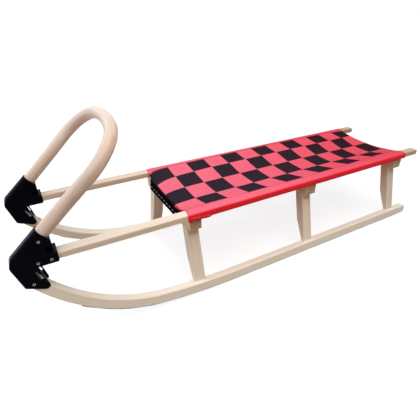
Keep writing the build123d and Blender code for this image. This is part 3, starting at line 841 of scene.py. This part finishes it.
FLAP_STITCH_X = np.array([0.192, 0.2045, 0.217, 0.2295])
FLAP_STITCH_LOW, FLAP_STITCH_RISE = 0.2152, 0.08
FLAP_STITCH_LONG, FLAP_STITCH_R = 0.010, 0.0008
flap_z = FLAP_STITCH_LOW + FLAP_STITCH_RISE * (FLAP_STITCH_X - FLAP_STITCH_X[0])
flap_y = RAIL_OUTER + CLEAR + stand_off(FLAP_STITCH_X, flap_z) + CLOTH_T / 2
threads = []
for hand, side in SIDES:
    centres = np.stack([FLAP_STITCH_X, side * flap_y, flap_z], axis=1)
    ways = (float(side), 0.0, 0.0), (0.0, float(side), 0.0)
    threads.append(stitches(centres, *ways, FLAP_STITCH_LONG, FLAP_STITCH_R))
pink_thread = thread("pink_thread", srgb(252, 138, 150), srgb(238, 88, 104))
flap_stitches = add_piece("flap_stitches", *as_one(*threads), pink_thread)

SEAM_STITCH_PITCH, SEAM_STITCH_LONG, SEAM_STITCH_R = 0.0046, 0.0032, 0.0003
SEAM_REAR, SEAM_FRONT = REAR_X + 0.006, FOLD_X - 0.004
seam_x = np.arange(SEAM_REAR, SEAM_FRONT, SEAM_STITCH_PITCH)
threads = []
for border, past, deep in ((BORDER_LINES[-1], SEAM_PAST, SEAM_DEEP), (BORDER_LINES[0], -SEAM_PAST, 0)):
    seam_y = np.interp(seam_x, BORDER_X, border) + past
    seam_z = sheet_height(seam_x, np.minimum(abs(seam_y) / SHEET_EDGE, 1)) - deep + CLOTH_T / 2
    centres = np.stack([seam_x, seam_y, seam_z], axis=1)
    ways = (1.0, 0.0, 0.0), (0.0, 0.0, 1.0)
    threads.append(stitches(centres, *ways, SEAM_STITCH_LONG, SEAM_STITCH_R))
red_thread = thread("red_thread", srgb(240, 60, 80), srgb(190, 20, 36))
sleeve_stitches = add_piece("sleeve_stitches", *as_one(*threads), red_thread)

# Studio: a pale floor that keeps the sled's shadow and is clear from below, a white surround,
# four soft lamps, and the camera.
FLOOR_HALF = 30.0
FLOOR_BOARDS, FLOOR_SEEN = (0.46, 0.355, 0.26, 1.0), (0.86, 0.86, 0.86, 1.0)
LIFT_LIGHT, LIFT_SHARE = 1.2, 0.7
FILL_LIGHT, WHITE = (0.02, 0.018, 0.016, 1.0), (1.0, 1.0, 1.0, 1.0)


def in_view(tree):
    """Mask of what the camera sees of the surround: straight, mirrored or through clear pieces."""
    path = put(tree, "ShaderNodeLightPath").outputs
    mirrored = calc(tree, "MAXIMUM", path["Is Glossy Ray"], path["Is Transmission Ray"])
    return calc(tree, "MAXIMUM", path["Is Camera Ray"], mirrored)


floor_points = np.array([[-1, -1, 0], [1, -1, 0], [1, 1, 0], [-1, 1, 0]]) * FLOOR_HALF
floor_mesh = bpy.data.meshes.new("floor")
floor_mesh.from_pydata(floor_points.tolist(), [], [(0, 1, 2, 3)])
floor = bpy.data.objects.new("floor", floor_mesh)
bpy.context.collection.objects.link(floor)
floor_paint = bpy.data.materials.new("floor_paint")
tree = empty_tree(floor_paint)
seen = in_view(tree)
paint = put(tree, "ShaderNodeBsdfDiffuse", {"Color": blend(tree, seen, FLOOR_BOARDS, FLOOR_SEEN)}).outputs[0]
glow = put(tree, "ShaderNodeEmission", {"Strength": LIFT_LIGHT}).outputs[0]
lifted = {0: calc(tree, "MULTIPLY", seen, LIFT_SHARE), 1: paint, 2: glow}
from_above = put(tree, "ShaderNodeMixShader", lifted).outputs[0]
below = put(tree, "ShaderNodeNewGeometry").outputs["Backfacing"]
clear = put(tree, "ShaderNodeBsdfTransparent").outputs[0]
one_sided = put(tree, "ShaderNodeMixShader", {0: below, 1: from_above, 2: clear}).outputs[0]
put(tree, "ShaderNodeOutputMaterial", {"Surface": one_sided})
floor_mesh.materials.append(floor_paint)

world = bpy.data.worlds.new("white_surround")
bpy.context.scene.world = world
tree = empty_tree(world)
surround = blend(tree, in_view(tree), FILL_LIGHT, WHITE)
backdrop = put(tree, "ShaderNodeBackground", {"Color": surround}).outputs[0]
put(tree, "ShaderNodeOutputWorld", {"Surface": backdrop})

# Kind, name, place, point it faces, width or spread, strength and colour of each lamp
LAMPS = (
    ("SUN", "overhead", (0.25, 0.30, 2.0), (0.0, 0.0, 0.2), math.radians(70), 2.36, (0.98, 1.0, 1.0)),
    ("AREA", "above_seat", (0.05, 0.50, 1.25), (0.05, 0.10, 0.15), 0.8, 4.8, (1.0, 0.80, 0.62)),
    ("AREA", "right_front", (0.70, -1.20, 0.90), (0.30, 0.0, 0.15), 1.4, 6.0, (0.76, 0.85, 1.0)),
    ("AREA", "low_beyond", (1.32, -0.55, 0.42), (0.57, 0.14, 0.22), 0.3, 3.0, (0.95, 0.94, 1.0)),
)
for kind, name, place, aim, width, strength, colour in LAMPS:
    lamp = bpy.data.lights.new(name, kind)
    lamp.energy, lamp.color = strength, colour
    setattr(lamp, "angle" if kind == "SUN" else "size", width)
    lamp_stand = bpy.data.objects.new(name, lamp)
    lamp_stand.location = place
    lamp_stand.rotation_euler = (Vector(aim) - Vector(place)).to_track_quat("-Z", "Y").to_euler()
    bpy.context.collection.objects.link(lamp_stand)

bpy.context.scene.view_settings.view_transform = "Standard"
camera_data = bpy.data.cameras.new("camera")
camera_data.sensor_width, camera_data.lens = 36.0, 28.835
camera = bpy.data.objects.new("camera", camera_data)
camera.location = (0.5203, 0.7415, 0.6353)
camera.rotation_euler = Vector((-0.4202, -0.7477, -0.5141)).to_track_quat("-Z", "Y").to_euler()
bpy.context.collection.objects.link(camera)
bpy.context.scene.camera = camera
